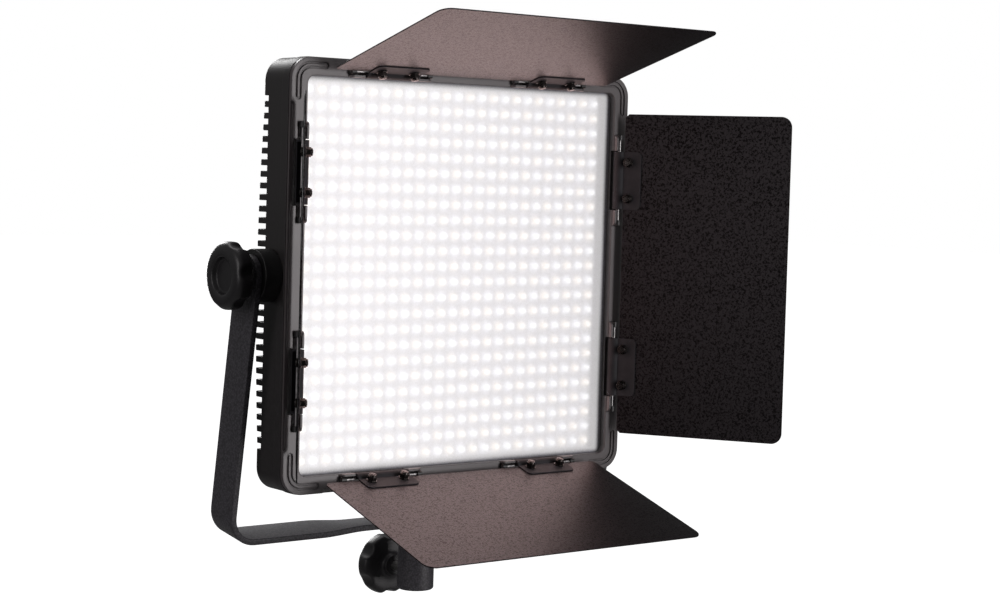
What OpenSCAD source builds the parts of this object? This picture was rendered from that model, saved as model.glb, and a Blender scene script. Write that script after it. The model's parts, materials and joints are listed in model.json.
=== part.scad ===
// LED panel light with four barn doors, a tilting yoke and a socket for a 5/8 inch stand spigot.
// The frame's origin is the mouth of the stand socket, +Z points up and the light shines towards -Y.
// Parts of the light head are drawn about the head's own centre line, with y = 0 in the plane of
// the barn-door hinge rods, and head() carries them to their place above the stand socket.

/* [Light source] */
// LED columns on the board
led_cols = 25; // [15:1:25]
// LED rows on the board
led_rows = 24; // [14:1:24]
// Spacing of the columns
led_pitch_x = 12; // [9:0.5:12]
// Spacing of the rows
led_pitch_z = 12.5; // [9:0.5:12.5]
// Diameter of one LED
led_d = 5; // [3:0.5:6]

/* [Housing] */
// Width of the bezel
bezel_w = 340; // [336:1:350]
// Height of the bezel
bezel_h = 335; // [332:1:345]
// Outer corner radius of the bezel
bezel_r = 17; // [16:1:22]
// Width of the light opening
open_w = 310; // [304:0.2:310]
// Height of the light opening
open_h = 306.8; // [300:0.2:307]
// Depth of the housing's back face behind the hinge rods
back_y = 41; // [39:0.5:50]
// Number of vent slots down each side of the rear housing
vent_count = 31; // [10:1:31]
// Spacing of the vent slots
vent_pitch = 8.94; // [7:0.01:8.95]

/* [Barn doors] */
// Length of each leaf along its hinge
leaf_w = 272; // [240:1:276]
// Reach of each leaf from its hinge edge to its free edge
leaf_l = 143; // [100:0.5:144]
// Thickness of the leaf sheet
leaf_t = 1; // [0.8:0.1:1.2]
// Rest angle of the top leaf, outward from straight ahead
top_open = 16.2; // [0:0.1:60]
// Rest angle of the right leaf
right_open = 31.8; // [0:0.1:60]
// Rest angle of the bottom leaf
bottom_open = 17.3; // [0:0.1:60]
// Rest angle of the left leaf
left_open = 32.5; // [0:0.1:60]

/* [Yoke and stand socket] */
// Width across the outside of the yoke arms
yoke_w = 381; // [379:1:400]
// Width of the yoke strip
strip_w = 32; // [28:1:36]
// Thickness of the yoke strip
strip_t = 5; // [4:0.5:6]
// Distance from the tilt axis to the underside of the yoke bar
yoke_drop = 211.6; // [205:0.2:240]
// Lean of the yoke arms, foot towards the back
yoke_lean = 8.9; // [0:0.1:12]
// Outer diameter of the stand socket
socket_d = 30.5; // [28:0.5:34]
// Length of the stand socket below the yoke bar
socket_l = 55.6; // [50:0.2:65]
// Bore for a 5/8 inch spigot
spigot_bore = 16.2; // [16:0.1:16.4]

/* [Clamp knobs] */
// Largest diameter of a clamp knob
knob_d = 52; // [44:1:54]
// Height of a clamp knob
knob_h = 20.5; // [16:0.5:22]
// Finger hollows round a clamp knob
knob_lobes = 6; // [5:1:8]

/* [Hidden] */
$fn = 48;

// Head: depths measured from the plane of the hinge rods
front_y = 2;
band_y = 5.7;
split_y = 14.6;
sheet_y = 8.8;
sheet_t = 2;
board_y = 19;
board_t = 1.6;
spreader_t = 2;
lens_front_y = 15.6;
wall = 2.5;
band_t = 3.2;
band_r = 18;
face_in = 0.7;
shell_r = 18;
vent_y = 35.6;
vent_rise = 1.4;
rail_w = 17;
rail_h = 6;
rail_r = 1411;
flange_w = 10.5;
flange_in = 8;

// Relief of the bezel's face: the double corner grooves and the recess along each outer rim
groove_x = bezel_w / 2 - 4.4;
groove_z = bezel_h / 2 - 3.9;
groove_r = 13.5;
groove_w = 5;
groove_line = 1.5;
groove_depth = 1.2;
groove_end_x = 138.6;
groove_end_z = 136.9;
rim_half = 129;
rim_in = 3.9;
rim_depth = 1.5;

// Tilt axis, behind the plane of the hinge rods
pivot_y = 27.2;
arm_in_x = yoke_w / 2 - strip_t;
bar_mid = yoke_drop - strip_t / 2;
stand_back = pivot_y + bar_mid * sin(yoke_lean);
pivot_h = socket_l + strip_t / 2 + bar_mid * cos(yoke_lean);

// Hinges: rod positions from the centre line, and the places along each side
rod_x = 159.7;
rod_z = 157.9;
rod_d = 2.6;
rod_bore = 2.72;
hinge_at = 79.5;
pocket_half = 38.5;
bracket_half = 24.5;
curl_r = 4.9;
ear_t = 1.5;
bracket_reach = 20;
bearing_d = 5.2;
bearing_l = 4.6;
pocket_y = 4;
lip_r = 4.8;
lip_in_r = 3.1;
lip_from = bracket_half + 0.7;
lip_top = -1.8;
lip_end_r = 3.6;
leaf_start = 5;
leaf_n = -1.1;
plate_t = 1;
screw_s = 8.8;
screw_half = 15.3;
screw_d = 4;
door_rods = [rod_z, rod_x, rod_z, rod_x];
door_angles = [top_open, right_open, bottom_open, left_open];

// Yoke bends and the twist that brings the middle of the bar level
bend_r = 24;
twist_out = 103;
twist_in = 62;
stud_d = 8;
stud_bore = 8.3;
spacer_d = 41;
spacer_foot_d = 24;
washer_t = 1.2;
knob_turn = 38;
stand_turn = 30;
lock_h = 14;
lock_out = 14.8;

// Rear controls
control_z = -118;
knob_x = [-92, -60];
pot_shaft_d = 6;
back_plate_t = 1.5;
dock_screw_x = 42;
dock_screw_z = [-24, 80];
release_x = 31;
spring_l = 6;

module head() {
    translate([0, -stand_back, pivot_h]) children();
}

// A plate in the XZ plane from y0 to y1
module slab(y0, y1) {
    translate([0, y1, 0]) rotate([90, 0, 0]) linear_extrude(y1 - y0) children();
}

module round_rect(w, h, r) {
    square([w - 2 * r, h], center = true);
    square([w, h - 2 * r], center = true);
    for (sx = [-1, 1], sz = [-1, 1])
        translate([sx * (w / 2 - r), sz * (h / 2 - r)]) circle(r);
}

module ring(w, h, r, t) {
    difference() {
        round_rect(w, h, r);
        round_rect(w - 2 * t, h - 2 * t, r - t);
    }
}

// A rod along Y with one end at y0
module rod_y(x, z, y0, len, d) {
    translate([x, y0 + len, z]) rotate([90, 0, 0]) cylinder(d = d, h = len);
}

// A rod along X centred on x = 0
module rod_along(d, len) {
    rotate([0, 90, 0]) cylinder(d = d, h = len, center = true);
}

// Side k of the head, 0 top, 1 right, 2 bottom, 3 left, with the hinge rod along X at z = rod
module on_side(k) {
    rotate([0, 90 * k, 0]) translate([0, 0, door_rods[k]]) children();
}

// A door's own frame: x along the rod, y away along the leaf, z outward from the beam
module door_frame(k) {
    on_side(k) rotate([-door_angles[k], 0, 0]) rotate([0, 0, 180]) children();
}

// ---------------------------------------------------------------- light head, front

// Outline of a band of the given width that follows a corner, its outer edge inset from (rim_x, rim_z)
module corner_band(inset, w) {
    r = groove_r - inset;
    cx = groove_x - groove_r;
    cz = groove_z - groove_r;
    translate([cx, cz]) intersection() {
        difference() {
            circle(r);
            circle(r - w);
        }
        square(r);
    }
    translate([groove_x - inset - w, groove_end_z]) square([w, cz - groove_end_z]);
    translate([groove_end_x, groove_z - inset - w]) square([cx - groove_end_x, w]);
}

// The double groove that follows the upper right corner of the bezel, closed by round ends
module corner_groove() {
    mid = groove_w / 2;
    difference() {
        union() {
            corner_band(0, groove_w);
            translate([groove_x - mid, groove_end_z]) circle(mid);
            translate([groove_end_x, groove_z - mid]) circle(mid);
        }
        corner_band(groove_line, groove_w - 2 * groove_line);
        translate([groove_x - mid, groove_end_z]) circle(mid - groove_line);
        translate([groove_end_x, groove_z - mid]) circle(mid - groove_line);
    }
}

// The rod pocket and the round swing space of one hinge, in the rod's own frame
module hinge_pocket() {
    translate([hinge_at - pocket_half, -5, -2.9]) cube([2 * pocket_half, 5 + pocket_y, 6.2]);
    translate([hinge_at, 0, 0]) rod_along(14.4, 2 * bracket_half + 1.4);
}

// Low walls that stand on the face beside the ends of the rods, on the side of the opening. Their
// tops are rounded off towards the far end of the pocket.
module hinge_lips() {
    long = pocket_half - lip_from;
    translate([hinge_at, 0, 0]) for (e = [0, 1]) mirror([e, 0, 0]) translate([lip_from, 0, 0]) difference() {
        translate([long / 2, 0, 0]) rod_along(2 * lip_r, long);
        translate([long / 2, 0, 0]) rod_along(2 * lip_in_r, long + 1);
        translate([-1, -2 * lip_r, -1]) cube([long + 2, 4 * lip_r, 2 * lip_r]);
        translate([-1, front_y + 1, -2 * lip_r]) cube([long + 2, lip_r, 3 * lip_r]);
        translate([-1, 0, -2.9]) cube([long + 2, 2 * lip_r, 2 * lip_r]);
        translate([-1, lip_top - 2 * lip_r, -2 * lip_r]) cube([long + 2, 2 * lip_r, 4 * lip_r]);
        translate([long - lip_end_r, lip_top - 1, -2 * lip_r]) difference() {
            cube([lip_end_r + 1, lip_end_r + 1, 4 * lip_r]);
            translate([0, lip_end_r + 1, -1]) cylinder(r = lip_end_r, h = 4 * lip_r + 2);
        }
    }
}

module front_bezel() {
    color("#3c3a3b") head() bezel_face();
    color("#3c3a3b") head() for (k = [0:3], s = [0, 1]) on_side(k) mirror([s, 0, 0]) hinge_lips();
}

module bezel_face() {
    difference() {
        union() {
            slab(front_y, band_y) difference() {
                round_rect(bezel_w - 2 * face_in, bezel_h - face_in, bezel_r);
                round_rect(open_w, open_h, 7);
            }
            slab(band_y - 1, sheet_y) difference() {
                round_rect(bezel_w - 2 * band_t - 1, bezel_h - 2 * band_t - 1, band_r - band_t);
                round_rect(open_w, open_h, 7);
            }
        }
        for (k = [0:3]) {
            on_side(k) for (s = [0, 1]) mirror([s, 0, 0]) hinge_pocket();
            rim_z = (k % 2 == 0) ? bezel_h / 2 : bezel_w / 2;
            rotate([0, 90 * k, 0]) slab(front_y - 1, front_y + rim_depth) translate([0, rim_z]) {
                square([2 * rim_half, 2 * rim_in], center = true);
                for (e = [-1, 1]) translate([e * rim_half, 0]) circle(rim_in);
            }
        }
        for (mx = [0, 1], mz = [0, 1])
            mirror([mx, 0, 0]) mirror([0, 0, mz]) slab(front_y - 1, front_y + groove_depth) corner_groove();
    }
}

module diffuser_sheet() {
    color("#e8e9ee") head() slab(sheet_y, sheet_y + sheet_t) round_rect(open_w + 9, open_h + 9, 8);
}

// Every second LED, starting with the given parity
module led_set(parity) {
    head() for (c = [0:led_cols - 1], r = [0:led_rows - 1])
        if ((c + r) % 2 == parity)
            rod_y((c - (led_cols - 1) / 2) * led_pitch_x, ((led_rows - 1) / 2 - r) * led_pitch_z,
                lens_front_y, board_y - lens_front_y, led_d);
}

module cool_leds() {
    color("#f2f6ff") led_set(0);
}

module warm_leds() {
    color("#ffe9c8") led_set(1);
}

module led_board() {
    color("#f4f4f2") head() slab(board_y, board_y + board_t) difference() {
        round_rect(open_w + 10, open_h + 10, 8);
        for (x = [-150, 150], z = [-148.5, 148.5]) translate([x, z]) circle(d = 3.4);
    }
}

module heat_spreader() {
    y0 = board_y + board_t;
    color("#b9bcc0") head() slab(y0, y0 + spreader_t) difference() {
        round_rect(open_w + 10, open_h + 10, 8);
        for (x = [-150, 150], z = [-148.5, 148.5]) translate([x, z]) circle(d = 3.4);
    }
}

// ---------------------------------------------------------------- light head, shell

// Outer band of the head, with a flange inside it that presses the LED board on the heat spreader
module middle_frame() {
    color("#232223") head() {
        slab(band_y, split_y) ring(bezel_w, bezel_h, band_r, band_t);
        slab(sheet_y + sheet_t + 0.2, split_y) ring(bezel_w - 1, bezel_h - 1, band_r, flange_w);
        slab(split_y, board_y)
            ring(bezel_w - flange_in, bezel_h - flange_in, band_r, flange_w - flange_in / 2 + 0.5);
    }
}

// One vent slot that wraps round the rear corner of the side wall
module vent_slot(side, i) {
    z = vent_rise + (i - (vent_count - 1) / 2) * vent_pitch;
    translate([side * (bezel_w / 2 - 12), vent_y + 10, z]) cube([28, 20, 4.2], center = true);
}

// Arched rail down the rear of each side, which the slots divide into fins
module vent_rail(side) {
    x = bezel_w / 2 - 1 - rail_w / 2;
    intersection() {
        translate([side * x, back_y + rail_h / 2 - 0.5, 0]) cube([rail_w, rail_h + 1, bezel_h - 40], center = true);
        translate([side * x, back_y + rail_h - rail_r, 0]) rotate([0, 90, 0])
            cylinder(r = rail_r, h = rail_w + 2, center = true, $fn = 720);
    }
}

module rear_housing() {
    color("#1b1a1b") head() difference() {
        union() {
            slab(split_y, back_y) round_rect(bezel_w - 2, bezel_h - 0.6, shell_r);
            for (side = [-1, 1]) vent_rail(side);
        }
        slab(split_y - 1, back_y - wall)
            round_rect(bezel_w - 2 - 2 * wall, bezel_h - 0.6 - 2 * wall, shell_r - wall);
        for (side = [-1, 1], i = [0:vent_count - 1]) vent_slot(side, i);
        for (side = [-1, 1])
            translate([side * bezel_w / 2, pivot_y, 0]) rod_along(stud_bore + 0.4, 20);
        for (x = knob_x) rod_y(x, control_z, back_y - 5, 10, 7.4);
        translate([-10, back_y - 5, control_z - 9]) cube([52, 10, 18]);
        translate([60, back_y - 5, control_z - 10]) cube([13.4, 10, 20]);
        rod_y(112, control_z, back_y - 5, 10, 24.2);
        for (x = [-138, 0, 138], z = [-150, 150]) rod_y(x, z, back_y - 5, 10, 3.4);
        for (sx = [-1, 1], z = dock_screw_z) rod_y(sx * dock_screw_x, z, back_y - 5, 10, 3.4);
    }
}

module screw_y(x, y, z, head_d, shaft_d, len) {
    rod_y(x, z, y - len, len, shaft_d);
    translate([x, y, z]) rotate([-90, 0, 0]) difference() {
        rotate_extrude() intersection() {
            translate([0, -head_d * 0.72]) circle(head_d * 1.05);
            square([head_d / 2, head_d]);
        }
        for (a = [0, 90]) rotate(a) translate([-head_d * 0.28, -0.45, 1]) cube([head_d * 0.56, 0.9, 4]);
    }
}

module housing_screws() {
    color("#2a2a2c") head()
        for (x = [-138, 0, 138], z = [-150, 150]) screw_y(x, back_y, z, 6, 3, 14);
}

module pivot_blocks() {
    color("#9a9da1") head() for (side = [-1, 1]) difference() {
        translate([side * 158.6, 30.4, 0]) cube([15.4, 15.4, 46], center = true);
        translate([side * 158.6, pivot_y, 0]) rod_along(stud_d + 0.1, 20);
    }
}

// Round spacers between the head and the arms, each with a foot that reaches the rear housing's wall
module pivot_spacers() {
    x0 = bezel_w / 2 + 0.2;
    len = arm_in_x - x0 - 0.2;
    color("#191919") head() for (side = [-1, 1]) difference() {
        union() {
            translate([side * (x0 + len / 2), pivot_y, 0]) rod_along(spacer_d, len);
            translate([side * (x0 - 0.1), pivot_y, 0]) rod_along(spacer_foot_d, 2.2);
        }
        translate([side * x0, pivot_y, 0]) rod_along(stud_bore, 2 * len + 4);
    }
}

// ---------------------------------------------------------------- light head, electronics

module driver_board() {
    color("#2f6b45") head() {
        translate([-60, 29, -60]) cube([120, 1.6, 110]);
        for (x = [-54, 54], z = [-54, 44]) rod_y(x, z, board_y + board_t + spreader_t, 29 - 22.6, 6);
    }
}

module driver_coils() {
    color("#b87333") head() for (x = [-36, 0, 36]) translate([x, 30.6, 22]) rotate([-90, 0, 0]) {
        difference() {
            cylinder(d = 20, h = 6.5);
            translate([0, 0, -1]) cylinder(d = 8, h = 9);
        }
    }
}

module driver_capacitors() {
    color("#20304a") head() for (x = [-45:15:45]) rod_y(x, -22, 30.6, 7.4, 10);
}

module control_board() {
    color("#2f6b45") head() translate([-110, 28, control_z - 18]) difference() {
        cube([158, 1.6, 36]);
        for (x = knob_x) translate([x + 110, -1, 18]) rotate([-90, 0, 0]) cylinder(d = 3, h = 4);
    }
}

// Printed face plate of the rear controls
module control_plate() {
    color("#2b2b2d") head() slab(back_y, back_y + back_plate_t) difference() {
        translate([0, control_z]) round_rect(270, 46, 5);
        for (x = knob_x) translate([x, control_z]) circle(d = 7.4);
        translate([-9, control_z - 8]) square([50, 16]);
        translate([60.2, control_z - 9.8]) square([13, 19.6]);
        translate([112, control_z]) circle(d = 24.2);
    }
}

module display_window() {
    color("#0c1418") head() translate([-8.8, 29.6, control_z - 7.8]) cube([49.6, back_y + 1.2 - 29.6, 15.6]);
}

module potentiometers() {
    color("#8d9094") head() for (x = knob_x) {
        rod_y(x, control_z, 29.6, 7.6, 16);
        rod_y(x, control_z, 37.2, back_y - 37.2 + 8, pot_shaft_d);
    }
}

// A small fluted control knob with a pointer groove, its bore on the potentiometer shaft
module small_knob(x) {
    translate([x, back_y + back_plate_t + 0.4, control_z]) rotate([-90, 0, 0]) difference() {
        union() {
            cylinder(d1 = 20, d2 = 17, h = 13);
            cylinder(d = 22, h = 2);
        }
        translate([0, 0, -1]) cylinder(d = pot_shaft_d + 0.1, h = 8.5);
        for (a = [0:30:330]) rotate(a) translate([11, 0, 3]) cylinder(d = 3, h = 12);
        translate([-0.6, 2, 12.2]) cube([1.2, 8, 2]);
    }
}

module brightness_knob() {
    color("#17171a") head() small_knob(knob_x[0]);
}

module colour_knob() {
    color("#17171a") head() small_knob(knob_x[1]);
}

module power_switch_body() {
    color("#161616") head() translate([66.7, 0, control_z]) difference() {
        union() {
            translate([-6.3, 24, -9.5]) cube([12.6, back_y + 2 - 24, 19]);
            translate([-8, back_y + back_plate_t, -11.5]) cube([16, 1.6, 23]);
        }
        translate([-5.2, 33, -8.4]) cube([10.4, 20, 16.8]);
        translate([0, 37.5, 0]) rod_along(2.2, 12);
    }
}

// The rocker turns on its own two trunnions in the switch body
module power_rocker() {
    color("#a01818") head() translate([66.7, 37.5, control_z]) rotate([9, 0, 0]) {
        rod_along(2, 11.6);
        intersection() {
            translate([-4.9, -2, -7.6]) cube([9.8, 9.5, 15.2]);
            rotate([0, 90, 0]) cylinder(r = 8, h = 20, center = true);
        }
    }
}

module dc_inlet() {
    color("#2a2b2d") head() difference() {
        union() {
            rod_y(112, control_z, 27, back_y + back_plate_t - 27 + 1, 23.6);
            slab(back_y + back_plate_t, back_y + back_plate_t + 2) translate([112, control_z]) round_rect(28, 34, 4);
        }
        rod_y(112, control_z, 30, 30, 17.4);
        for (s = [-1, 1]) rod_y(112 + 10.4 * s, control_z + 13.4 * s, back_y, 10, 3.2);
    }
}

module dc_inlet_pins() {
    color("#c8b060") head() for (a = [45:90:315])
        rod_y(112 + 4.4 * cos(a), control_z + 4.4 * sin(a), 30, 11, 1.8);
}

// Wedge-shaped dock for a broadcast battery, open towards the top
module battery_plate() {
    color("#1d1d1f") head() difference() {
        slab(back_y, back_y + 13) translate([0, 28]) round_rect(98, 124, 6);
        translate([0, back_y + 5, 0]) rotate([-90, 0, 0]) mirror([0, 1, 0]) linear_extrude(9)
            polygon([[-13, -6], [13, -6], [26, 70], [26, 92], [-26, 92], [-26, 70]]);
        translate([release_x, back_y + 4, 40]) cube([20, 8, 16]);
        for (sx = [-1, 1], z = dock_screw_z) rod_y(sx * dock_screw_x, z, back_y - 5, 30, 3.6);
    }
}

module battery_contacts() {
    color("#d0b25a") head() for (x = [-6, -2, 2, 6])
        translate([x - 0.5, back_y + 5, 2]) cube([1, 5, 9]);
}

module battery_plate_screws() {
    color("#8c8f93") head() for (sx = [-1, 1], z = dock_screw_z)
        screw_y(sx * dock_screw_x, back_y + 13, z, 6, 3, 15.5);
}

// Push button in the side of the dock that frees the battery, with its return spring behind it
module battery_release() {
    color("#8a1c1c") head() translate([release_x + spring_l, back_y + 4.2, 40.3])
        cube([49 + 2.2 - release_x - spring_l, 7.6, 15.4]);
}

module release_spring() {
    color("#aeb1b5") head()
        translate([release_x + spring_l / 2, back_y + 8, 48]) rod_along(4.6, spring_l - 0.1);
}

// ---------------------------------------------------------------- hinge hardware on the bezel

module hinge_rods() {
    color("#c9cbce") head() for (k = [0:3], s = [-1, 1])
        on_side(k) translate([s * hinge_at, 0, 0]) rod_along(rod_d, 2 * pocket_half - 0.6);
}

// Bearings that stand on the pocket floors and hold the ends of the rods
module hinge_bearings() {
    color("#191919") head() for (k = [0:3], s = [-1, 1], e = [-1, 1])
        on_side(k) translate([s * hinge_at + e * (pocket_half - bearing_l / 2 - 0.1), 0, 0]) difference() {
            union() {
                rod_along(bearing_d, bearing_l);
                translate([-bearing_l / 2, 0, -bearing_d / 2]) cube([bearing_l, pocket_y, bearing_d]);
            }
            rod_along(rod_d + 0.04, bearing_l + 1);
        }
}

// ---------------------------------------------------------------- barn doors

module at_screws() {
    for (h = [-1, 1], e = [-1, 1]) translate([h * hinge_at + e * screw_half, screw_s, 0]) children();
}

module leaf(k) {
    r = 9;
    cut = 3;
    far = leaf_start + leaf_l;
    head() door_frame(k) translate([0, 0, leaf_n]) difference() {
        linear_extrude(leaf_t) {
            polygon([[-leaf_w / 2, leaf_start + cut], [-leaf_w / 2 + cut, leaf_start],
                [leaf_w / 2 - cut, leaf_start], [leaf_w / 2, leaf_start + cut],
                [leaf_w / 2, far - r], [-leaf_w / 2, far - r]]);
            translate([-leaf_w / 2 + r, far - 2 * r]) square([leaf_w - 2 * r, 2 * r]);
            for (s = [-1, 1]) translate([s * (leaf_w / 2 - r), far - r]) circle(r);
        }
        at_screws() translate([0, 0, -1]) cylinder(d = screw_d + 0.2, h = 4);
    }
}

// Folded sheet: a flat plate under the leaf, a curl round the rod, and two ears that turn on the rod
module bracket() {
    r = 4;
    w = 2 * bracket_half;
    plate_n = leaf_n - plate_t;
    curl_y = sqrt(curl_r * curl_r - plate_n * plate_n);
    difference() {
        union() {
            translate([-bracket_half, curl_y - plate_t, plate_n])
                cube([w, bracket_reach - r - curl_y + plate_t, plate_t]);
            translate([-bracket_half + r, bracket_reach - 2 * r, plate_n]) cube([w - 2 * r, 2 * r, plate_t]);
            for (s = [-1, 1])
                translate([s * (bracket_half - r), bracket_reach - r, plate_n]) cylinder(r = r, h = plate_t);
            difference() {
                rod_along(2 * curl_r, w);
                rod_along(2 * (curl_r - plate_t), w - 2 * ear_t);
                translate([0, 2 * curl_r, 2 * curl_r + plate_n]) cube([w + 1, 4 * curl_r, 4 * curl_r], center = true);
            }
        }
        rod_along(rod_bore, w + 2);
        for (e = [-1, 1]) translate([e * screw_half, screw_s, -4]) cylinder(d = screw_d + 0.2, h = 4);
    }
}

module brackets(k) {
    head() door_frame(k) for (h = [-1, 1]) translate([h * hinge_at, 0, 0]) bracket();
}

// Pan-head screw from outside the leaf, with its washer and locking nut on the lit side
module door_screw() {
    under = leaf_n - plate_t;
    translate([0, 0, under - 4]) cylinder(d = screw_d, h = 4 + plate_t + leaf_t);
    translate([0, 0, under]) mirror([0, 0, 1]) {
        cylinder(d = 8.4, h = 0.8);
        translate([0, 0, 0.8]) cylinder(d = 7.8, h = 3.4, $fn = 6);
        translate([0, 0, 4.2]) difference() {
            cylinder(d1 = 6.6, d2 = 5.6, h = 1.4);
            translate([0, 0, 0.6]) cylinder(d = screw_d, h = 1);
        }
        translate([0, 0, 4.2]) cylinder(d = screw_d - 0.6, h = 1.7);
    }
    translate([0, 0, leaf_n + leaf_t]) difference() {
        rotate_extrude() intersection() {
            translate([0, -4]) circle(6.2);
            square([3.6, 3]);
        }
        for (a = [0, 90]) rotate(a) translate([-1.7, -0.4, 1]) cube([3.4, 0.8, 3]);
    }
}

module door_screws(k) {
    head() door_frame(k) at_screws() door_screw();
}

module top_leaf() {
    color("#241f1f") leaf(0);
}

module right_leaf() {
    color("#241f1f") leaf(1);
}

module bottom_leaf() {
    color("#241f1f") leaf(2);
}

module left_leaf() {
    color("#241f1f") leaf(3);
}

module top_brackets() {
    color("#2c2a2b") brackets(0);
}

module right_brackets() {
    color("#2c2a2b") brackets(1);
}

module bottom_brackets() {
    color("#2c2a2b") brackets(2);
}

module left_brackets() {
    color("#2c2a2b") brackets(3);
}

module top_screws() {
    color("#8c8f93") door_screws(0);
}

module right_screws() {
    color("#8c8f93") door_screws(1);
}

module bottom_screws() {
    color("#8c8f93") door_screws(2);
}

module left_screws() {
    color("#8c8f93") door_screws(3);
}

// ---------------------------------------------------------------- yoke and stand socket

// The yoke's own frame has its origin on the tilt axis and leans with the arms
module yoke_frame() {
    head() translate([0, pivot_y, 0]) rotate([yoke_lean, 0, 0]) children();
}

// One arm, its bend and the outer end of the bar, on the +X side of the leaning frame
module yoke_side() {
    bend_x = yoke_w / 2 - bend_r;
    bend_z = bend_r - yoke_drop;
    translate([arm_in_x, -strip_w / 2, bend_z]) cube([strip_t, strip_w, -bend_z]);
    translate([arm_in_x + strip_t / 2, 0, 0]) rod_along(strip_w, strip_t);
    translate([bend_x, 0, bend_z]) rotate([90, 0, 0]) rotate([0, 0, -90]) rotate_extrude(angle = 90)
        translate([bend_r - strip_t, -strip_w / 2]) square([strip_t, strip_w]);
    translate([twist_out, -strip_w / 2, -yoke_drop]) cube([bend_x - twist_out, strip_w, strip_t]);
}

// A short slice of the bar, a hair smaller than the strip, that starts at x
module bar_slice(x) {
    slip = 0.05;
    translate([x, slip - strip_w / 2, slip]) cube([2, strip_w - 2 * slip, strip_t - 2 * slip]);
}

module yoke() {
    color("#1a1a1b") difference() {
        union() {
            for (s = [0, 1]) mirror([s, 0, 0]) {
                yoke_frame() yoke_side();
                hull() {
                    yoke_frame() translate([0, 0, -yoke_drop]) bar_slice(twist_out);
                    translate([0, 0, socket_l]) bar_slice(twist_in - 2);
                }
            }
            translate([-twist_in, -strip_w / 2, socket_l]) cube([2 * twist_in, strip_w, strip_t]);
        }
        yoke_frame() for (s = [-1, 1]) translate([s * arm_in_x, 0, 0]) rod_along(stud_bore, 30);
        translate([0, 0, socket_l - 1]) cylinder(d = 10.4, h = strip_t + 2);
    }
}

module arm_washers() {
    color("#b4b6b9") head() for (s = [-1, 1])
        translate([s * (yoke_w / 2 + washer_t / 2), pivot_y, 0]) difference() {
            rod_along(22, washer_t);
            rod_along(stud_bore, washer_t + 1);
        }
}

module stand_socket() {
    chamfer = 1.2;
    color("#1a1a1b") difference() {
        rotate_extrude() polygon([[0, 0], [socket_d / 2 - chamfer, 0], [socket_d / 2, chamfer],
            [socket_d / 2, socket_l - chamfer], [socket_d / 2 - chamfer, socket_l], [0, socket_l]]);
        translate([0, 0, -1]) cylinder(d = spigot_bore, h = 43);
        translate([0, 0, 40]) cylinder(d = 10, h = socket_l);
        rod_y(0, lock_h, 0, socket_d, stud_d + 0.1);
    }
}

module socket_bolt() {
    color("#77797c") {
        translate([0, 0, 43]) cylinder(d = 10, h = socket_l + strip_t - 43);
        translate([0, 0, socket_l + strip_t]) cylinder(d = 24, h = 1.6);
        translate([0, 0, socket_l + strip_t + 1.6]) difference() {
            cylinder(d = 19, h = 6.4, $fn = 6);
            translate([0, 0, 5.6]) cylinder(d = 12, h = 2);
        }
    }
}

// ---------------------------------------------------------------- clamp knobs

// A clamp knob on +Z with its foot at z = 0 and a round hollow in its face
module clamp_knob(turn = knob_turn) {
    r = knob_d / 2;
    hollow_r = 14.2;
    difference() {
        rotate_extrude() {
            polygon([[0, 0], [9, 0], [9.5, 4], [r - 4, 6], [r - 4, knob_h - 3], [0, knob_h - 3]]);
            translate([r - 6, 5.4]) square([5.2, knob_h - 9]);
            translate([0, knob_h - 4]) square([r - 5, 4]);
            translate([r - 5, knob_h - 5]) circle(5);
            translate([r - 3.4, 8.4]) circle(3.1);
        }
        for (a = [0:360 / knob_lobes:359]) rotate(a + turn)
            translate([r + 3.2, 0, 0]) rotate([0, 14, 0]) translate([0, 0, -8]) cylinder(r = 9, h = 40);
        translate([0, 0, knob_h - 4.4]) cylinder(r1 = hollow_r - 1.2, r2 = hollow_r, h = 4.5);
        translate([0, 0, -1]) cylinder(d = stud_d, h = 13);
    }
}

module on_left_tilt() {
    head() translate([-yoke_w / 2 - washer_t - 0.1, pivot_y, 0]) rotate([0, -90, 0]) children();
}

module on_right_tilt() {
    head() translate([yoke_w / 2 + washer_t + 0.1, pivot_y, 0]) rotate([0, 90, 0]) children();
}

// Stud that runs from inside the knob, through the arm and the spacer, into the pivot block
module tilt_stud() {
    translate([0, 0, -36]) cylinder(d = stud_d, h = 48);
}

module left_tilt_knob() {
    color("#1c1b1d") on_left_tilt() clamp_knob();
}

module right_tilt_knob() {
    color("#1c1b1d") on_right_tilt() clamp_knob();
}

module left_tilt_stud() {
    color("#b4b6b9") on_left_tilt() tilt_stud();
}

module right_tilt_stud() {
    color("#b4b6b9") on_right_tilt() tilt_stud();
}

module stand_knob() {
    color("#1c1b1d") translate([0, socket_d / 2 + lock_out, lock_h]) rotate([-90, 0, 0])
        clamp_knob(stand_turn);
}

module stand_screw() {
    tip = spigot_bore / 2 + 0.3;
    color("#b4b6b9") rod_y(0, lock_h, tip, socket_d / 2 + lock_out + 12 - tip, stud_d);
}

front_bezel();
diffuser_sheet();
cool_leds();
warm_leds();
led_board();
heat_spreader();
middle_frame();
rear_housing();
housing_screws();
pivot_blocks();
pivot_spacers();
driver_board();
driver_coils();
driver_capacitors();
control_board();
control_plate();
display_window();
potentiometers();
brightness_knob();
colour_knob();
power_switch_body();
power_rocker();
dc_inlet();
dc_inlet_pins();
battery_plate();
battery_contacts();
battery_plate_screws();
battery_release();
release_spring();
hinge_rods();
hinge_bearings();
top_leaf();
top_brackets();
top_screws();
right_leaf();
right_brackets();
right_screws();
bottom_leaf();
bottom_brackets();
bottom_screws();
left_leaf();
left_brackets();
left_screws();
yoke();
arm_washers();
stand_socket();
socket_bolt();
left_tilt_knob();
left_tilt_stud();
right_tilt_knob();
right_tilt_stud();
stand_knob();
stand_screw();
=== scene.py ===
import json
import math
import bmesh
import bpy
from mathutils import Matrix, Vector

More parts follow.
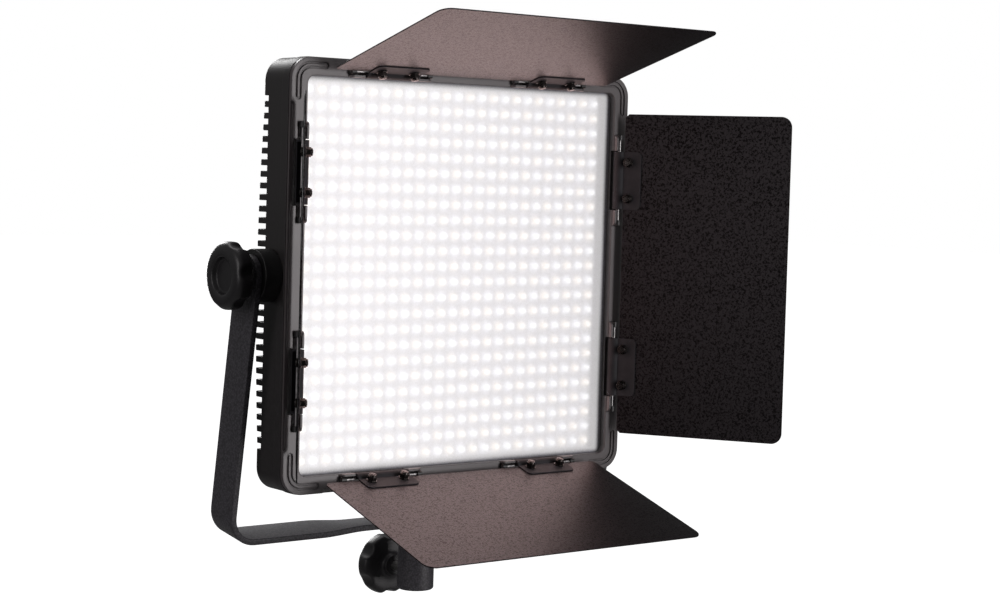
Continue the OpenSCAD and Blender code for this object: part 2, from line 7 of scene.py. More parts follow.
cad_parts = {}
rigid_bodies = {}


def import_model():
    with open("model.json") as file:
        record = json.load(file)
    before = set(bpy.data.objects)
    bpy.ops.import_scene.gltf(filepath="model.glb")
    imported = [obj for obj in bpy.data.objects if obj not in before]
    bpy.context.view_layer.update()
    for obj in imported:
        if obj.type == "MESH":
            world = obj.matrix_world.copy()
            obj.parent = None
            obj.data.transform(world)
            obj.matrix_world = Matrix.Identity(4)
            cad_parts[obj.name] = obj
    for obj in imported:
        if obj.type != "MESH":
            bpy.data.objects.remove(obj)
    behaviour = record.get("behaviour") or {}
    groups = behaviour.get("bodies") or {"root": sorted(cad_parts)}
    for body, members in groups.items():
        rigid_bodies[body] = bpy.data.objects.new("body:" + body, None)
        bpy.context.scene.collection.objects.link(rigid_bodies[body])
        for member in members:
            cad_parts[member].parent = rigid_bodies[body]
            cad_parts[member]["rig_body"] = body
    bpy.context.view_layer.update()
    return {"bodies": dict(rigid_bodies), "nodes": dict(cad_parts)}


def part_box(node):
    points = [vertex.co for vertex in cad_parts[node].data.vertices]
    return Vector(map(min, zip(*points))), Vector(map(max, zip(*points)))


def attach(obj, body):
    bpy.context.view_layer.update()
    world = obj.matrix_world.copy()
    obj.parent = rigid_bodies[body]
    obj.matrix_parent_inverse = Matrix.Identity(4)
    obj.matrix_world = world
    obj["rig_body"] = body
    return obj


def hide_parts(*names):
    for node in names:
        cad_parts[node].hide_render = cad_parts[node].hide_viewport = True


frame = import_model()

MM = 0.001
NODES = frame["nodes"]


def centre(node):
    """The middle of a CAD node's box."""
    low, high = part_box(node)
    return (Vector(low) + Vector(high)) / 2


def size(node):
    """A CAD node's box, as its length along each axis."""
    low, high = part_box(node)
    return Vector(high) - Vector(low)


# ------------------------------------------------------------------ sizes

# The head, from the frame
HEAD_Z = centre("front_bezel").z
ROD_Y = centre("hinge_rods").y
SHEET_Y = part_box("diffuser_sheet")[0][1]

# The LED grid, whose pitch comes from the frame
LED_COLUMNS, LED_ROWS = 25, 24
LED_DIAMETER = 5 * MM
PITCH_X = (size("cool_leds").x - LED_DIAMETER) / (LED_COLUMNS - 1)
PITCH_Z = (size("cool_leds").z - LED_DIAMETER) / (LED_ROWS - 1)

# The yoke's strip: its section, its bends, and where along the bar it twists back to level
YOKE_LEAN = math.radians(8.9)
STRIP_W = 32 * MM
STRIP_T = 5 * MM
STRIP_EDGE = 0.8 * MM
BEND_R = 24 * MM
TWIST_OUT = 103 * MM
TWIST_IN = 62 * MM

# The clamp knobs, in millimetres: their finger hollows, and the dish in the face
KNOB_LOBES = 6
HOLLOW_R = 9
HOLLOW_OUT = 3.2
HOLLOW_LEAN = math.radians(14)
LOBE_SOFTNESS = 0.7
DISH_R = 14.2

# Corners closer than WELD are one, faces within FLAT_ANGLE of each other are one, and edges sharper
# than EDGE_ANGLE, in degrees, are rounded
WELD = 0.001 * MM
FLAT_ANGLE = math.radians(0.6)
EDGE_ANGLE = 32


# ------------------------------------------------------------------ shader helpers

class Shader:
    """A material under construction, with short calls for the nodes that the looks below share."""

    def __init__(self, name):
        self.material = bpy.data.materials.new(name)
        self.material.use_nodes = True
        self.tree = self.material.node_tree
        self.tree.nodes.clear()
        self.output = self.add("ShaderNodeOutputMaterial")

    def add(self, kind, **inputs):
        node = self.tree.nodes.new(kind)
        for name, value in inputs.items():
            self.feed(node.inputs[name.replace("_", " ")], value)
        return node

    def feed(self, socket, value):
        if isinstance(value, bpy.types.NodeSocket):
            self.tree.links.new(value, socket)
        elif socket.type == "RGBA" and len(value) == 3:
            socket.default_value = (*value, 1)
        else:
            socket.default_value = value

    def math(self, operation, *values):
        node = self.tree.nodes.new("ShaderNodeMath")
        node.operation = operation
        for socket, value in zip(node.inputs, values):
            self.feed(socket, value)
        return node.outputs[0]

    def place(self):
        """Object coordinates, in metres."""
        return self.add("ShaderNodeTexCoord").outputs["Object"]

    def noise(self, scale, detail=2.0, roughness=0.5, distortion=0.0):
        node = self.add("ShaderNodeTexNoise", Vector=self.place(), Scale=scale, Detail=detail,
                        Roughness=roughness, Distortion=distortion)
        return node.outputs["Fac"]

    def cells(self, scale):
        return self.add("ShaderNodeTexVoronoi", Vector=self.place(), Scale=scale).outputs["Distance"]

    def remap(self, value, low, high, to_low=0.0, to_high=1.0, smooth=False):
        node = self.tree.nodes.new("ShaderNodeMapRange")
        node.interpolation_type = "SMOOTHSTEP" if smooth else "LINEAR"
        for socket, fed in zip(node.inputs, (value, low, high, to_low, to_high)):
            self.feed(socket, fed)
        return node.outputs[0]

    def mix_colour(self, fac, a, b):
        node = self.tree.nodes.new("ShaderNodeMix")
        node.data_type = "RGBA"
        self.feed(node.inputs[0], fac)
        self.feed(node.inputs[6], a)
        self.feed(node.inputs[7], b)
        return node.outputs[2]

    def bump(self, height, distance, strength=1.0):
        node = self.add("ShaderNodeBump", Strength=strength, Distance=distance, Height=height)
        return node.outputs[0]

    def principled(self, colour, roughness, metallic=0.0, normal=None, **more):
        node = self.add("ShaderNodeBsdfPrincipled", Base_Color=colour, Roughness=roughness,
                        Metallic=metallic, **more)
        if normal is not None:
            self.feed(node.inputs["Normal"], normal)
        return node.outputs[0]

    def mix(self, fac, a, b):
        node = self.tree.nodes.new("ShaderNodeMixShader")
        for socket, value in zip(node.inputs, (fac, a, b)):
            self.feed(socket, value)
        return node.outputs[0]

    def done(self, surface):
        self.tree.links.new(surface, self.output.inputs["Surface"])
        return self.material


# ------------------------------------------------------------------ materials

def moulded_plastic(name, colour, roughness, grain=900, depth=0.05 * MM, corner=0):
    """Injection-moulded plastic: a fine grain, slow changes of gloss, and corners of a given radius."""
    s = Shader(name)
    rub = s.noise(14, detail=4, roughness=0.6)
    fine = s.noise(grain, detail=3, roughness=0.6)
    tint = s.mix_colour(s.remap(rub, 0.35, 0.7), [c * 0.86 for c in colour], [c * 1.12 for c in colour])
    gloss = s.remap(rub, 0.3, 0.7, roughness - 0.04, roughness + 0.05)
    grained = s.add("ShaderNodeBump", Strength=0.5, Distance=depth, Height=fine)
    if corner:
        rounded = s.add("ShaderNodeBevel", Radius=corner)
        rounded.samples = 4
        s.feed(grained.inputs["Normal"], rounded.outputs[0])
    return s.done(s.principled(tint, gloss, normal=grained.outputs[0]))


def wrinkle_coat(name, colour, roughness):
    """Wrinkle paint on steel: fine ridges round slightly paler hollows."""
    s = Shader(name)
    grain = 620
    depth = 0.16 * MM
    ridges = s.cells(grain)
    fine = s.noise(grain * 2.6, detail=3, roughness=0.65)
    height = s.math("ADD", ridges, s.math("MULTIPLY", fine, 0.5))
    tint = s.mix_colour(s.remap(height, 0.35, 0.95), [c * 1.5 for c in colour], [c * 0.6 for c in colour])
    gloss = s.remap(s.noise(20, detail=3), 0.3, 0.7, roughness - 0.06, roughness + 0.06)
    return s.done(s.principled(tint, gloss, normal=s.bump(height, depth, 0.6)))


def speckled_coat():
    """The leaves' paint: a charcoal ground with small matt black pits. Its sheen hides the pits at a
    slant, and fades at a glancing view."""
    s = Shader("leaf_speckled_coat")
    blotches = s.noise(560, detail=4, roughness=0.66, distortion=0.7)
    crumbs = s.noise(1300, detail=2, roughness=0.6)
    speckle = s.remap(blotches, 0.45, 0.49, 1, 0, smooth=True)
    ground = s.mix_colour(s.remap(crumbs, 0.35, 0.65), (0.0022, 0.0022, 0.0030), (0.0054, 0.0053, 0.0068))
    colour = s.mix_colour(speckle, ground, (0.0012, 0.0010, 0.0011))
    gloss = s.math("ADD", s.remap(speckle, 0, 1, 0.42, 0.46), s.remap(crumbs, 0.3, 0.7, -0.05, 0.05))
    height = s.math("MULTIPLY_ADD", speckle, -0.7, crumbs)
    paint = s.principled(colour, gloss, normal=s.bump(height, 0.06 * MM, 0.5), Specular_IOR_Level=0.36,
                         Specular_Tint=(1.0, 0.90, 0.93))
    matt = s.add("ShaderNodeBsdfDiffuse", Color=(0.001, 0.001, 0.001)).outputs[0]
    slant = s.add("ShaderNodeLayerWeight", Blend=0.5).outputs["Facing"]
    pits = s.math("MULTIPLY", speckle, s.remap(slant, 0.25, 0.75, 0.75, 0.12))
    dulled = s.math("MAXIMUM", pits, s.remap(slant, 0.92, 0.99, 0, 0.9))
    return s.done(s.mix(dulled, paint, matt))


def satin_coat(name, colour, roughness, shine=0.5):
    """A thin satin coat, with a very fine grain and slow changes of tone and gloss."""
    s = Shader(name)
    fine = s.noise(1500, detail=2)
    cloud = s.noise(45, detail=4, roughness=0.6)
    tint = s.mix_colour(s.remap(cloud, 0.35, 0.65), [c * 0.8 for c in colour], [c * 1.2 for c in colour])
    gloss = s.remap(cloud, 0.3, 0.7, roughness - 0.05, roughness + 0.06)
    return s.done(s.principled(tint, gloss, normal=s.bump(fine, 0.02 * MM, 0.4), Specular_IOR_Level=shine))


def bare_metal(name, colour, roughness):
    """Plated or mill-finished metal with a very fine grain and a few darker stains."""
    s = Shader(name)
    grain = s.noise(2600, detail=2)
    stain = s.noise(180, detail=4, roughness=0.7)
    tint = s.mix_colour(s.remap(stain, 0.42, 0.7), colour, [c * 0.55 for c in colour])
    gloss = s.remap(stain, 0.3, 0.75, roughness - 0.05, roughness + 0.12)
    return s.done(s.principled(tint, gloss, metallic=1.0, normal=s.bump(grain, 0.01 * MM, 0.5)))


def gloss_plastic(name, colour, roughness=0.22):
    """Polished plastic or enamel under a thin clear coat."""
    s = Shader(name)
    wave = s.noise(60, detail=2)
    fine = s.noise(2200, detail=2)
    tint = s.mix_colour(wave, [c * 0.85 for c in colour], [c * 1.1 for c in colour])
    gloss = s.remap(fine, 0.3, 0.7, roughness - 0.05, roughness + 0.05)
    return s.done(s.principled(tint, gloss, normal=s.bump(fine, 0.01 * MM, 0.3), Coat_Weight=0.3))


def circuit_board():
    """Green solder mask with copper tracks showing through in a rectangular weave."""
    s = Shader("green_circuit_board")
    brick = s.add("ShaderNodeTexBrick", Vector=s.place(), Scale=110.0, Mortar_Size=0.03,
                  Color1=(0.012, 0.075, 0.028), Color2=(0.018, 0.11, 0.04), Mortar=(0.03, 0.19, 0.07))
    tracks = s.bump(brick.outputs["Fac"], 0.03 * MM, 0.4)
    return s.done(s.principled(brick.outputs["Color"], 0.3, normal=tracks))


def led_place(s):
    """Column and row numbers, as fractions, of a point on the LED board."""
    split = s.add("ShaderNodeSeparateXYZ", Vector=s.place())
    column = s.math("MULTIPLY_ADD", split.outputs[0], 1 / PITCH_X, LED_COLUMNS / 2)
    row = s.math("MULTIPLY_ADD", s.math("SUBTRACT", split.outputs[2], HEAD_Z), 1 / PITCH_Z, LED_ROWS / 2)
    return column, row


def led_reach(s, column, row, unit):
    """Distance from the middle of the nearest LED, in units of a given length."""
    off_x = s.math("MULTIPLY", s.math("SUBTRACT", s.math("FRACT", column), 0.5), PITCH_X / unit)
    off_z = s.math("MULTIPLY", s.math("SUBTRACT", s.math("FRACT", row), 0.5), PITCH_Z / unit)
    return s.math("SQRT", s.math("ADD", s.math("MULTIPLY", off_x, off_x), s.math("MULTIPLY", off_z, off_z)))


def inside_grid(s, column, row, soft):
    """1 over the LED grid, falling to 0 within soft pitches from just inside its edge."""
    near = []
    for place, count in ((column, LED_COLUMNS), (row, LED_ROWS)):
        edge = count / 2 - 0.1
        off = s.math("ABSOLUTE", s.math("SUBTRACT", place, count / 2))
        near.append(s.remap(off, edge, edge + soft, 1, 0, smooth=True))
    return s.math("MULTIPLY", *near)


def painted_slant_falloff(s):
    """Painted shade on the LEDs' light: it sags a little along the board towards +X, as the panel looks
    dimmer at a slant.
    """
    split = s.add("ShaderNodeSeparateXYZ", Vector=s.place())
    return s.remap(split.outputs[0], -110 * MM, 150 * MM, 1.0, 0.86)


def lit_board():
    """White LED board, lit by its LEDs: a soft pool of cool or warm light round each one."""
    s = Shader("lit_led_board")
    column, row = led_place(s)
    pool_bright, pool_end = 2.0, 7.5
    pool = s.remap(led_reach(s, column, row, MM), pool_bright, pool_end, 1, 0, smooth=True)
    parity = s.math("MODULO", s.math("ADD", s.math("FLOOR", column), s.math("FLOOR", row)), 2)
    tint = s.mix_colour(parity, (1.0, 0.93, 0.82), (0.96, 0.98, 1.0))
    colour = s.mix_colour(pool, (1.0, 0.98, 0.95), tint)
    field = inside_grid(s, column, row, soft=0.2)
    strength = s.math("MULTIPLY", s.remap(pool, 0, 1, 0.50, 0.95), s.remap(field, 0, 1, 0.03, 1))
    # The board's glow is darkened towards +X by painted shade
    board = s.principled((0.30, 0.285, 0.34), 0.5, Emission_Color=colour,
                         Emission_Strength=s.math("MULTIPLY", strength, painted_slant_falloff(s)))
    s.material.cycles.emission_sampling = "NONE"
    return s.done(board)


def lit_led(name, tint):
    """LED lens: brightest in the middle, tinted towards its rim."""
    s = Shader(name)
    strength = 1.55
    reach = led_reach(s, *led_place(s), LED_DIAMETER / 2)
    colour = s.mix_colour(s.remap(reach, 0.2, 1.0), (1.0, 1.0, 1.0), tint)
    glow = s.remap(reach, 0.2, 1.05, strength, strength * 0.6, smooth=True)
    # The lenses' glow is darkened towards +X by painted shade
    lens = s.principled((0.9, 0.9, 0.9), 0.2, Emission_Color=colour,
                        Emission_Strength=s.math("MULTIPLY", glow, painted_slant_falloff(s)))
    s.material.cycles.emission_sampling = "NONE"
    return s.done(lens)


def frosted_sheet():
    """Frosted diffuser: rough enough to blur the LEDs behind it, and veiled with their light."""
    s = Shader("frosted_diffuser")
    pebbles = s.noise(1150, detail=2.5, roughness=0.7)
    veil = inside_grid(s, *led_place(s), soft=0.4)
    grain = s.remap(pebbles, 0.3, 0.7, 0.94, 1.06)
    glow = s.math("MULTIPLY", s.remap(veil, 0, 1, 0.02, 0.78), grain)
    grey = s.mix_colour(s.remap(pebbles, 0.36, 0.64), (0.05, 0.047, 0.064), (0.19, 0.18, 0.235))
    # The sheet's glow is darkened towards +X by painted shade
    frost = s.principled(grey, 0.34, normal=s.bump(pebbles, 0.12 * MM, 0.5),
                         Emission_Color=(1.0, 0.985, 0.955),
                         Emission_Strength=s.math("MULTIPLY", glow, painted_slant_falloff(s)))
    blur = s.add("ShaderNodeBsdfRefraction", Color=(0.97, 0.97, 0.98), Roughness=0.45, IOR=1.3).outputs[0]
    s.material.cycles.emission_sampling = "NONE"
    return s.done(s.mix(s.remap(veil, 0, 1, 0.80, 0.42), blur, frost))


BEZEL = moulded_plastic("bezel_satin_plastic", (0.078, 0.068, 0.070), 0.36, corner=1.1 * MM)
CASING = moulded_plastic("casing_black_plastic", (0.0205, 0.0180, 0.0185), 0.46, grain=700)
SMALL_PLASTIC = moulded_plastic("black_nylon", (0.012, 0.0118, 0.012), 0.42)
CLAMP_PLASTIC = moulded_plastic("knob_black_nylon", (0.0150, 0.0138, 0.0155), 0.40, grain=620,
                                depth=0.07 * MM)
YOKE_COAT = wrinkle_coat("yoke_wrinkle_coat", (0.0520, 0.0490, 0.0570), 0.52)
LEAF_COAT = speckled_coat()
BRACKET_COAT = satin_coat("bracket_satin_coat", (0.027, 0.0262, 0.029), 0.62, shine=0.14)
BLACK_OXIDE = satin_coat("black_oxide_steel", (0.02, 0.019, 0.02), 0.34)
ROD_STEEL = bare_metal("rod_drawn_steel", (0.34, 0.33, 0.33), 0.38)
SCREW_STEEL = bare_metal("door_screw_dark_steel", (0.050, 0.044, 0.042), 0.24)
ZINC_STEEL = bare_metal("zinc_plated_steel", (0.60, 0.60, 0.58), 0.30)
ALUMINIUM = bare_metal("mill_aluminium", (0.72, 0.73, 0.74), 0.38)
BRASS = bare_metal("plated_contacts", (0.80, 0.58, 0.24), 0.24)
ROCKER_PLASTIC = gloss_plastic("red_gloss_plastic", (0.30, 0.016, 0.016))
WINDOW_PLASTIC = gloss_plastic("display_window_plastic", (0.008, 0.012, 0.014), 0.1)
COPPER = gloss_plastic("enamelled_copper", (0.42, 0.15, 0.04), 0.3)
SLEEVE = gloss_plastic("capacitor_sleeve", (0.015, 0.03, 0.09), 0.3)
FILM = satin_coat("control_film", (0.022, 0.022, 0.024), 0.5)
GREEN_BOARD = circuit_board()


# ------------------------------------------------------------------ pieces made from CAD nodes

def body_of(node):
    """The body that a CAD node rides on."""
    return NODES[node]["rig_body"]


def finish_mesh(mesh, sharp):
    """Smooth shading, broken at edges sharper than an angle in degrees."""
    if "custom_normal" in mesh.attributes:
        mesh.attributes.remove(mesh.attributes["custom_normal"])
    mesh.polygons.foreach_set("use_smooth", [True] * len(mesh.polygons))
    mesh.set_sharp_from_angle(angle=math.radians(sharp))


def welded(node):
    """A copy of a CAD node's mesh whose faces share their corners."""
    bm = bmesh.new()
    bm.from_mesh(NODES[node].data)
    bmesh.ops.remove_doubles(bm, verts=bm.verts, dist=WELD)
    return bm


def loft(bm, rings):
    """Closes a row of equal rings of vertices into a solid skin with flat ends."""
    count = len(rings[0])
    for first, second in zip(rings, rings[1:]):
        for i in range(count):
            j = (i + 1) % count
            bm.faces.new((first[i], first[j], second[j], second[i]))
    bm.faces.new(rings[0])
    bm.faces.new(rings[-1])
    bmesh.ops.recalc_face_normals(bm, faces=bm.faces)


def add_piece(name, bm, material, node, sharp=EDGE_ANGLE):
    """Puts a mesh in the scene in place of a CAD node, riding on that node's body."""
    mesh = bpy.data.meshes.new(name)
    bm.to_mesh(mesh)
    bm.free()
    finish_mesh(mesh, sharp)
    mesh.materials.clear()
    mesh.materials.append(material)
    piece = bpy.data.objects.new(name, mesh)
    bpy.context.scene.collection.objects.link(piece)
    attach(piece, body_of(node))
    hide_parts(node)
    return piece


def eased(node, material, edge):
    """The node's own shape with its edges rounded, as moulding, painting and bending leave them."""
    bm = welded(node)
    bmesh.ops.dissolve_limit(bm, angle_limit=FLAT_ANGLE, verts=bm.verts, edges=bm.edges)
    piece = add_piece(node + "_eased", bm, material, node)
    bevel = piece.modifiers.new("edges", "BEVEL")
    bevel.width = edge * MM
    bevel.segments = 2
    bevel.limit_method = "ANGLE"
    bevel.angle_limit = math.radians(EDGE_ANGLE)
    bevel.use_clamp_overlap = False
    bevel.harden_normals = True


def repaint(node, material):
    """A better material on a CAD node whose shape is right as it is."""
    for place in NODES[node].material_slots:
        place.material = material


# Each node with the material and the edge radius, in millimetres, of the piece that stands for it
EASED = [
    ("diffuser_sheet", frosted_sheet(), 0.2),
    ("middle_frame", CASING, 0.5),
    ("rear_housing", CASING, 0.6),
    ("pivot_spacers", SMALL_PLASTIC, 0.8),
    ("stand_socket", YOKE_COAT, 0.4),
    ("socket_bolt", BLACK_OXIDE, 0.4),
    ("control_plate", FILM, 0.25),
    ("power_switch_body", SMALL_PLASTIC, 0.3),
    ("power_rocker", ROCKER_PLASTIC, 0.4),
    ("brightness_knob", SMALL_PLASTIC, 0.3),
    ("colour_knob", SMALL_PLASTIC, 0.3),
    ("dc_inlet", BLACK_OXIDE, 0.3),
    ("battery_plate", CASING, 0.8),
    ("battery_release", ROCKER_PLASTIC, 0.5),
    ("display_window", WINDOW_PLASTIC, 0.2),
    ("hinge_bearings", SMALL_PLASTIC, 0.3),
]
for side in ("top", "right", "bottom", "left"):
    EASED.append((side + "_leaf", LEAF_COAT, 0.28))
    EASED.append((side + "_brackets", BRACKET_COAT, 0.25))
    EASED.append((side + "_screws", SCREW_STEEL, 0.15))
for node, material, edge in EASED:
    eased(node, material, edge)

# The bezel's face has too many openings to round edge by edge, so its material rounds the corners
add_piece("front_bezel_rounded", welded("front_bezel"), BEZEL, "front_bezel", sharp=28)

REPAINTED = {
    "hinge_rods": ROD_STEEL,
    "housing_screws": BLACK_OXIDE,
    "battery_plate_screws": ZINC_STEEL,
    "battery_contacts": BRASS,
    "dc_inlet_pins": BRASS,
    "release_spring": ZINC_STEEL,
    "arm_washers": ZINC_STEEL,
    "left_tilt_stud": ZINC_STEEL,
    "right_tilt_stud": ZINC_STEEL,
    "stand_screw": ZINC_STEEL,
    "pivot_blocks": ALUMINIUM,
    "heat_spreader": ALUMINIUM,
    "potentiometers": ZINC_STEEL,
    "driver_board": GREEN_BOARD,
    "control_board": GREEN_BOARD,
    "driver_coils": COPPER,
    "driver_capacitors": SLEEVE,
    "led_board": lit_board(),
    "cool_leds": lit_led("lit_cool_led", (0.92, 0.96, 1.0)),
    "warm_leds": lit_led("lit_warm_led", (1.0, 0.86, 0.66)),
}
for node, material in REPAINTED.items():
    repaint(node, material)


# ------------------------------------------------------------------ the yoke, one bent and twisted strip

def axis_y():
    """Y of the tilt axis."""
    return centre("pivot_spacers").y


def bar_height():
    """Z of the middle of the bar's thickness, where it lies level on the stand socket."""
    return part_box("stand_socket")[1][2] + STRIP_T / 2


def yoke_stations():
    """Half of the strip's centre line, from the top of the +X arm to the middle of the bar: for each
    station x, z in the plane of the arms, the angle of the path below level, half width and twist."""
    arm_x = size("yoke").x / 2 - STRIP_T / 2
    bar_z = -math.hypot(centre("stand_socket").y - axis_y(), bar_height() - HEAD_Z)
    turn = BEND_R - STRIP_T / 2
    round_end = STRIP_W / 2
    for step in range(1, 11):
        lift = math.radians(90 - 9 * step)
        yield arm_x, round_end * math.sin(lift), 90, round_end * math.cos(lift), 0
    for step in range(1, 9):
        yield arm_x, (bar_z + turn) * step / 8, 90, round_end, 0
    for step in range(1, 11):
        a = math.radians(9 * step)
        inward, up = turn * (1 - math.cos(a)), turn * (1 - math.sin(a))
        yield arm_x - inward, bar_z + up, 90 - 9 * step, round_end, 0
    for step in range(0, 13):
        t = step / 12
        ease = t * t * (3 - 2 * t)
        yield TWIST_OUT + (TWIST_IN - TWIST_OUT) * t, bar_z, 0, round_end, ease
    yield 0, bar_z, 0, round_end, 1


def strip_section(half_w, half_t):
    """Corners of the strip's section as (across, through), rounded by the coat's edge."""
    edge = min(STRIP_EDGE, half_w * 0.9)
    points = []
    for quarter, (side, face) in enumerate(((1, 1), (-1, 1), (-1, -1), (1, -1))):
        for part in range(4):
            a = math.radians(90 * quarter + 30 * part)
            points.append((side * (half_w - edge) + edge * math.cos(a),
                           face * (half_t - edge) + edge * math.sin(a)))
    return points


def yoke_mesh():
    """The strip swept along both halves of its centre line, then leant back about the tilt axis."""
    half = list(yoke_stations())
    stations = half + [(-x, z, -slope, w, twist) for x, z, slope, w, twist in reversed(half[:-1])]
    lean = Matrix.Rotation(YOKE_LEAN, 3, "X")
    pivot = Vector((0, axis_y(), HEAD_Z))
    bm = bmesh.new()
    rings = []
    for x, z, slope, half_w, twist in stations:
        a = math.radians(slope)
        along = Vector((-math.cos(a), 0, -math.sin(a)))
        across = Vector((0, 1, 0))
        through = along.cross(across)
        level = Matrix.Rotation(-YOKE_LEAN * twist, 3, "X")
        ring = []
        for u, v in strip_section(half_w, STRIP_T / 2):
            offset = level @ (across * u + through * v)
            ring.append(bm.verts.new(pivot + lean @ (Vector((x, 0, z)) + offset)))
        rings.append(ring)
    loft(bm, rings)
    return bm


add_piece("yoke_strip", yoke_mesh(), YOKE_COAT, "yoke", sharp=50)


# ------------------------------------------------------------------ clamp knobs

def knob_profile(radius, height):
    """Distance above the foot and radius, in millimetres, from the foot's middle to the face's middle:
    the collar, the underside, the crown and the dish, as distances from their own edges."""
    collar = [(0, 0.5), (0, 6), (0, 8.7), (0.3, 9.0), (2, 9.2), (3.6, 9.5), (4.5, 10.4), (5.0, 13)]
    underside = [(5.2, 8), (5.4, 5), (5.9, 2.6), (6.9, 1.1), (8.6, 0.3), (11.5, 0.1)]
    crown = [(6, 0), (4, 0.3), (2.3, 1.2), (1.0, 2.7), (0.25, 4.6), (0, 6.4)]
    dish = [(0, 2.2), (0.1, 1.2), (0.5, 0.4), (1.2, 0), (3.6, -0.8), (4.2, -1.3), (4.4, -2.2), (4.4, -6)]
    return (
        collar
        + [(lift, radius - inset) for lift, inset in underside]
        + [(height - drop, radius - inset) for drop, inset in crown]
        + [(height - drop, DISH_R + outset) for drop, outset in dish]
        + [(height - dish[-1][0], collar[0][1])]
    )


def hollow_reach(angle, lift, radius):
    """Radius, in millimetres, to which the leaning finger hollows let the knob out at an angle."""
    rise_past_hollow = 60
    axis_out = radius + HOLLOW_OUT + lift * math.tan(HOLLOW_LEAN)
    spread = 2 * math.pi / KNOB_LOBES
    off = abs((angle + spread / 2) % spread - spread / 2)
    edge = math.asin(HOLLOW_R / axis_out)
    near = min(off, edge)
    reach = axis_out * math.cos(near) - math.sqrt(max(HOLLOW_R ** 2 - (axis_out * math.sin(near)) ** 2, 0))
    return reach + rise_past_hollow * max(off - edge, 0)


def soft_least(a, b):
    """The smaller of two lengths in millimetres, rounded over where they are nearly equal."""
    return -LOBE_SOFTNESS * math.log(math.exp(-a / LOBE_SOFTNESS) + math.exp(-b / LOBE_SOFTNESS))


def knob_mesh(node, axis, turn):
    """A lobed clamp knob on axis, its foot at the node's near end and its hollows turned by an angle.
    The hollows leave the collar and the face alone."""
    box = size(node)
    index = max(range(3), key=lambda i: abs(axis[i]))
    height = box[index] / MM
    radius = max(box[i] for i in range(3) if i != index) / 2 / MM
    foot = centre(node) - axis * box[index] / 2
    side = Vector((0, 0, 1))
    other = axis.cross(side)
    steps = KNOB_LOBES * 20
    uncut_r = 12
    below_face = height - 0.05
    bm = bmesh.new()
    rings = []
    for lift, reach in knob_profile(radius, height):
        ring = []
        for step in range(steps):
            a = 2 * math.pi * step / steps
            out = side * math.cos(a) + other * math.sin(a)
            r = reach
            if reach > uncut_r and lift < below_face:
                r = soft_least(reach, hollow_reach(a - turn, lift, radius))
            ring.append(bm.verts.new(foot + MM * (axis * lift + r * out)))
        rings.append(ring)
    loft(bm, rings)
    return bm


for node, axis, turn in (
    ("left_tilt_knob", Vector((-1, 0, 0)), math.radians(38)),
    ("right_tilt_knob", Vector((1, 0, 0)), math.radians(38)),
    ("stand_knob", Vector((0, 1, 0)), 0),
):
    piece = add_piece(node + "_lobed", knob_mesh(node, axis, turn), CLAMP_PLASTIC, node, sharp=70)
    smooth = piece.modifiers.new("smooth", "SUBSURF")
    smooth.levels = 1
    smooth.render_levels = 1


# ------------------------------------------------------------------ floor, light and camera

def ray_switch(tree, seen, unseen):
    """A shader that is seen by the camera and another that lights the object."""
    path = tree.nodes.new("ShaderNodeLightPath")
    mix = tree.nodes.new("ShaderNodeMixShader")
    tree.links.new(path.outputs["Is Camera Ray"], mix.inputs[0])
    tree.links.new(unseen, mix.inputs[1])
    tree.links.new(seen, mix.inputs[2])
    return mix.outputs[0]


def pale_world():
    """White to the camera, dim as a light."""
    world = bpy.data.worlds.new("pale_studio")
    bpy.context.scene.world = world
    world.use_nodes = True
    tree = world.node_tree
    tree.nodes.clear()
    shades = []
    for strength in (1.0, 0.20):
        background = tree.nodes.new("ShaderNodeBackground")
        background.inputs["Strength"].default_value = strength
        background.inputs["Color"].default_value = (1, 1, 1, 1)
        shades.append(background.outputs[0])
    output = tree.nodes.new("ShaderNodeOutputWorld")
    tree.links.new(ray_switch(tree, *shades), output.inputs["Surface"])


def pale_floor():
    """White to the camera, and grey to the object's underside."""
    width = 60
    drop = 0.9
    bpy.ops.mesh.primitive_plane_add(size=width, location=(0, 0, -drop))
    floor = bpy.context.object
    floor.name = "studio_floor"
    s = Shader("studio_floor_paint")
    grain = s.noise(3, detail=3)
    tone = s.mix_colour(grain, (0.86, 0.86, 0.86), (0.9, 0.9, 0.9))
    lit = s.add("ShaderNodeBsdfDiffuse", Color=tone).outputs[0]
    glow = s.add("ShaderNodeEmission", Color=(1, 1, 1), Strength=0.95).outputs[0]
    both = s.tree.nodes.new("ShaderNodeAddShader")
    s.tree.links.new(lit, both.inputs[0])
    s.tree.links.new(glow, both.inputs[1])
    dark = s.add("ShaderNodeBsdfDiffuse", Color=(0.25, 0.25, 0.25)).outputs[0]
    floor.data.materials.append(s.done(ray_switch(s.tree, both.outputs[0], dark)))
    s.material.cycles.emission_sampling = "NONE"


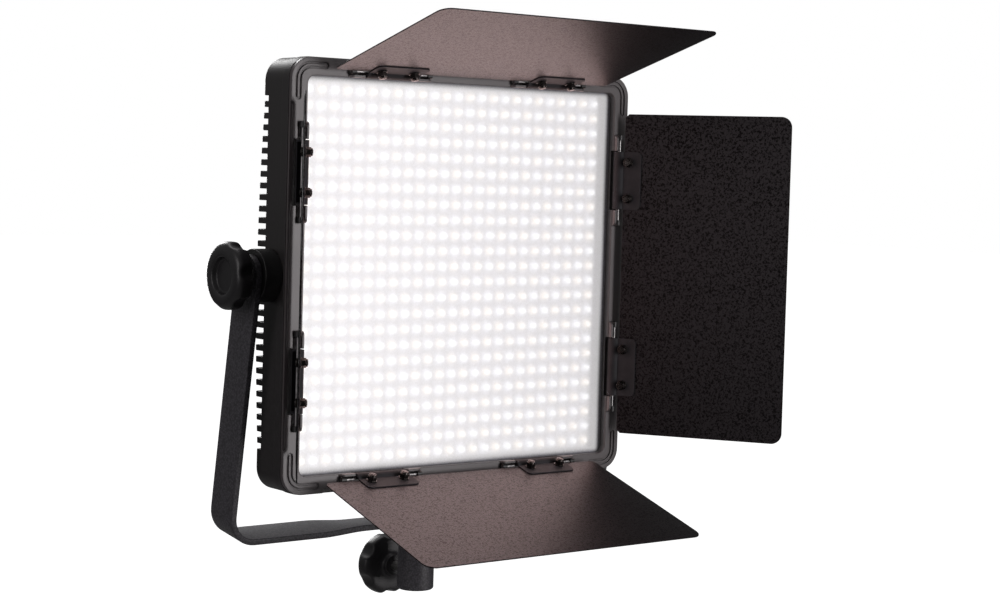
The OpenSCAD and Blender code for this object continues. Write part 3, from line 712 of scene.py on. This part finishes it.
def softbox(name, place, target, width, height, watts, tint=(1, 1, 1)):
    """A rectangular lamp at a place, facing a target."""
    data = bpy.data.lights.new(name, "AREA")
    data.shape = "RECTANGLE"
    data.size = width
    data.size_y = height
    data.energy = watts
    data.color = tint
    lamp = bpy.data.objects.new(name, data)
    bpy.context.scene.collection.objects.link(lamp)
    lamp.location = place
    lamp.rotation_euler = (Vector(target) - Vector(place)).to_track_quat("-Z", "Y").to_euler()
    return lamp


def panel_light():
    """The light that the LEDs throw on the leaves, from just in front of the diffuser."""
    gap = 4 * MM
    place = Vector((0, SHEET_Y - gap, HEAD_Z))
    ahead = place + Vector((0, -1, 0))
    lamp = softbox("led_throw", place, ahead, LED_COLUMNS * PITCH_X, LED_ROWS * PITCH_Z, 0.42,
                   (1.0, 0.62, 0.58))
    lamp.visible_camera = False
    lamp.parent = frame["bodies"]["head"]


def camera():
    """A long lens from the left, level with the head and turned about 38 degrees."""
    data = bpy.data.cameras.new("camera")
    data.sensor_width = 36
    data.lens = 73.83
    data.shift_x = 0.0109
    data.shift_y = -0.0285
    data.clip_end = 100
    place = (-1.0032, ROD_Y - 1.3105, HEAD_Z + 0.0829)
    view = bpy.data.objects.new("camera", data)
    bpy.context.scene.collection.objects.link(view)
    right = Vector((0.788, -0.615, 0.028)).normalized()
    forward = Vector((0.616, 0.787, -0.048))
    forward = (forward - right * forward.dot(right)).normalized()
    up = right.cross(forward)
    axes = Matrix((right, up, -forward)).transposed()
    view.matrix_world = Matrix.Translation(place) @ axes.to_4x4()
    bpy.context.scene.camera = view


pale_world()
pale_floor()
softbox("key_front_right", (0.85, -1.8, 0.35), (0, 0, 0.26), 0.55, 1.6, 22, (1.0, 0.965, 0.975))
softbox("side_left", (-2.2, -0.5, 0.9), (-0.17, 0, 0.25), 0.7, 1.6, 11, (1.0, 0.95, 0.97))
softbox("top", (0.2, 0.5, 2.0), (0, 0, 0.3), 1.4, 1.0, 9, (1.0, 0.95, 0.97))
softbox("back_low", (0.6, 2.4, 0.4), (0, 0, 0.25), 0.6, 0.9, 20)
softbox("back_high", (0.3, 2.3, 1.5), (0, 0, 0.25), 0.7, 1.0, 24)
panel_light()
camera()
bpy.context.scene.view_settings.view_transform = "Standard"
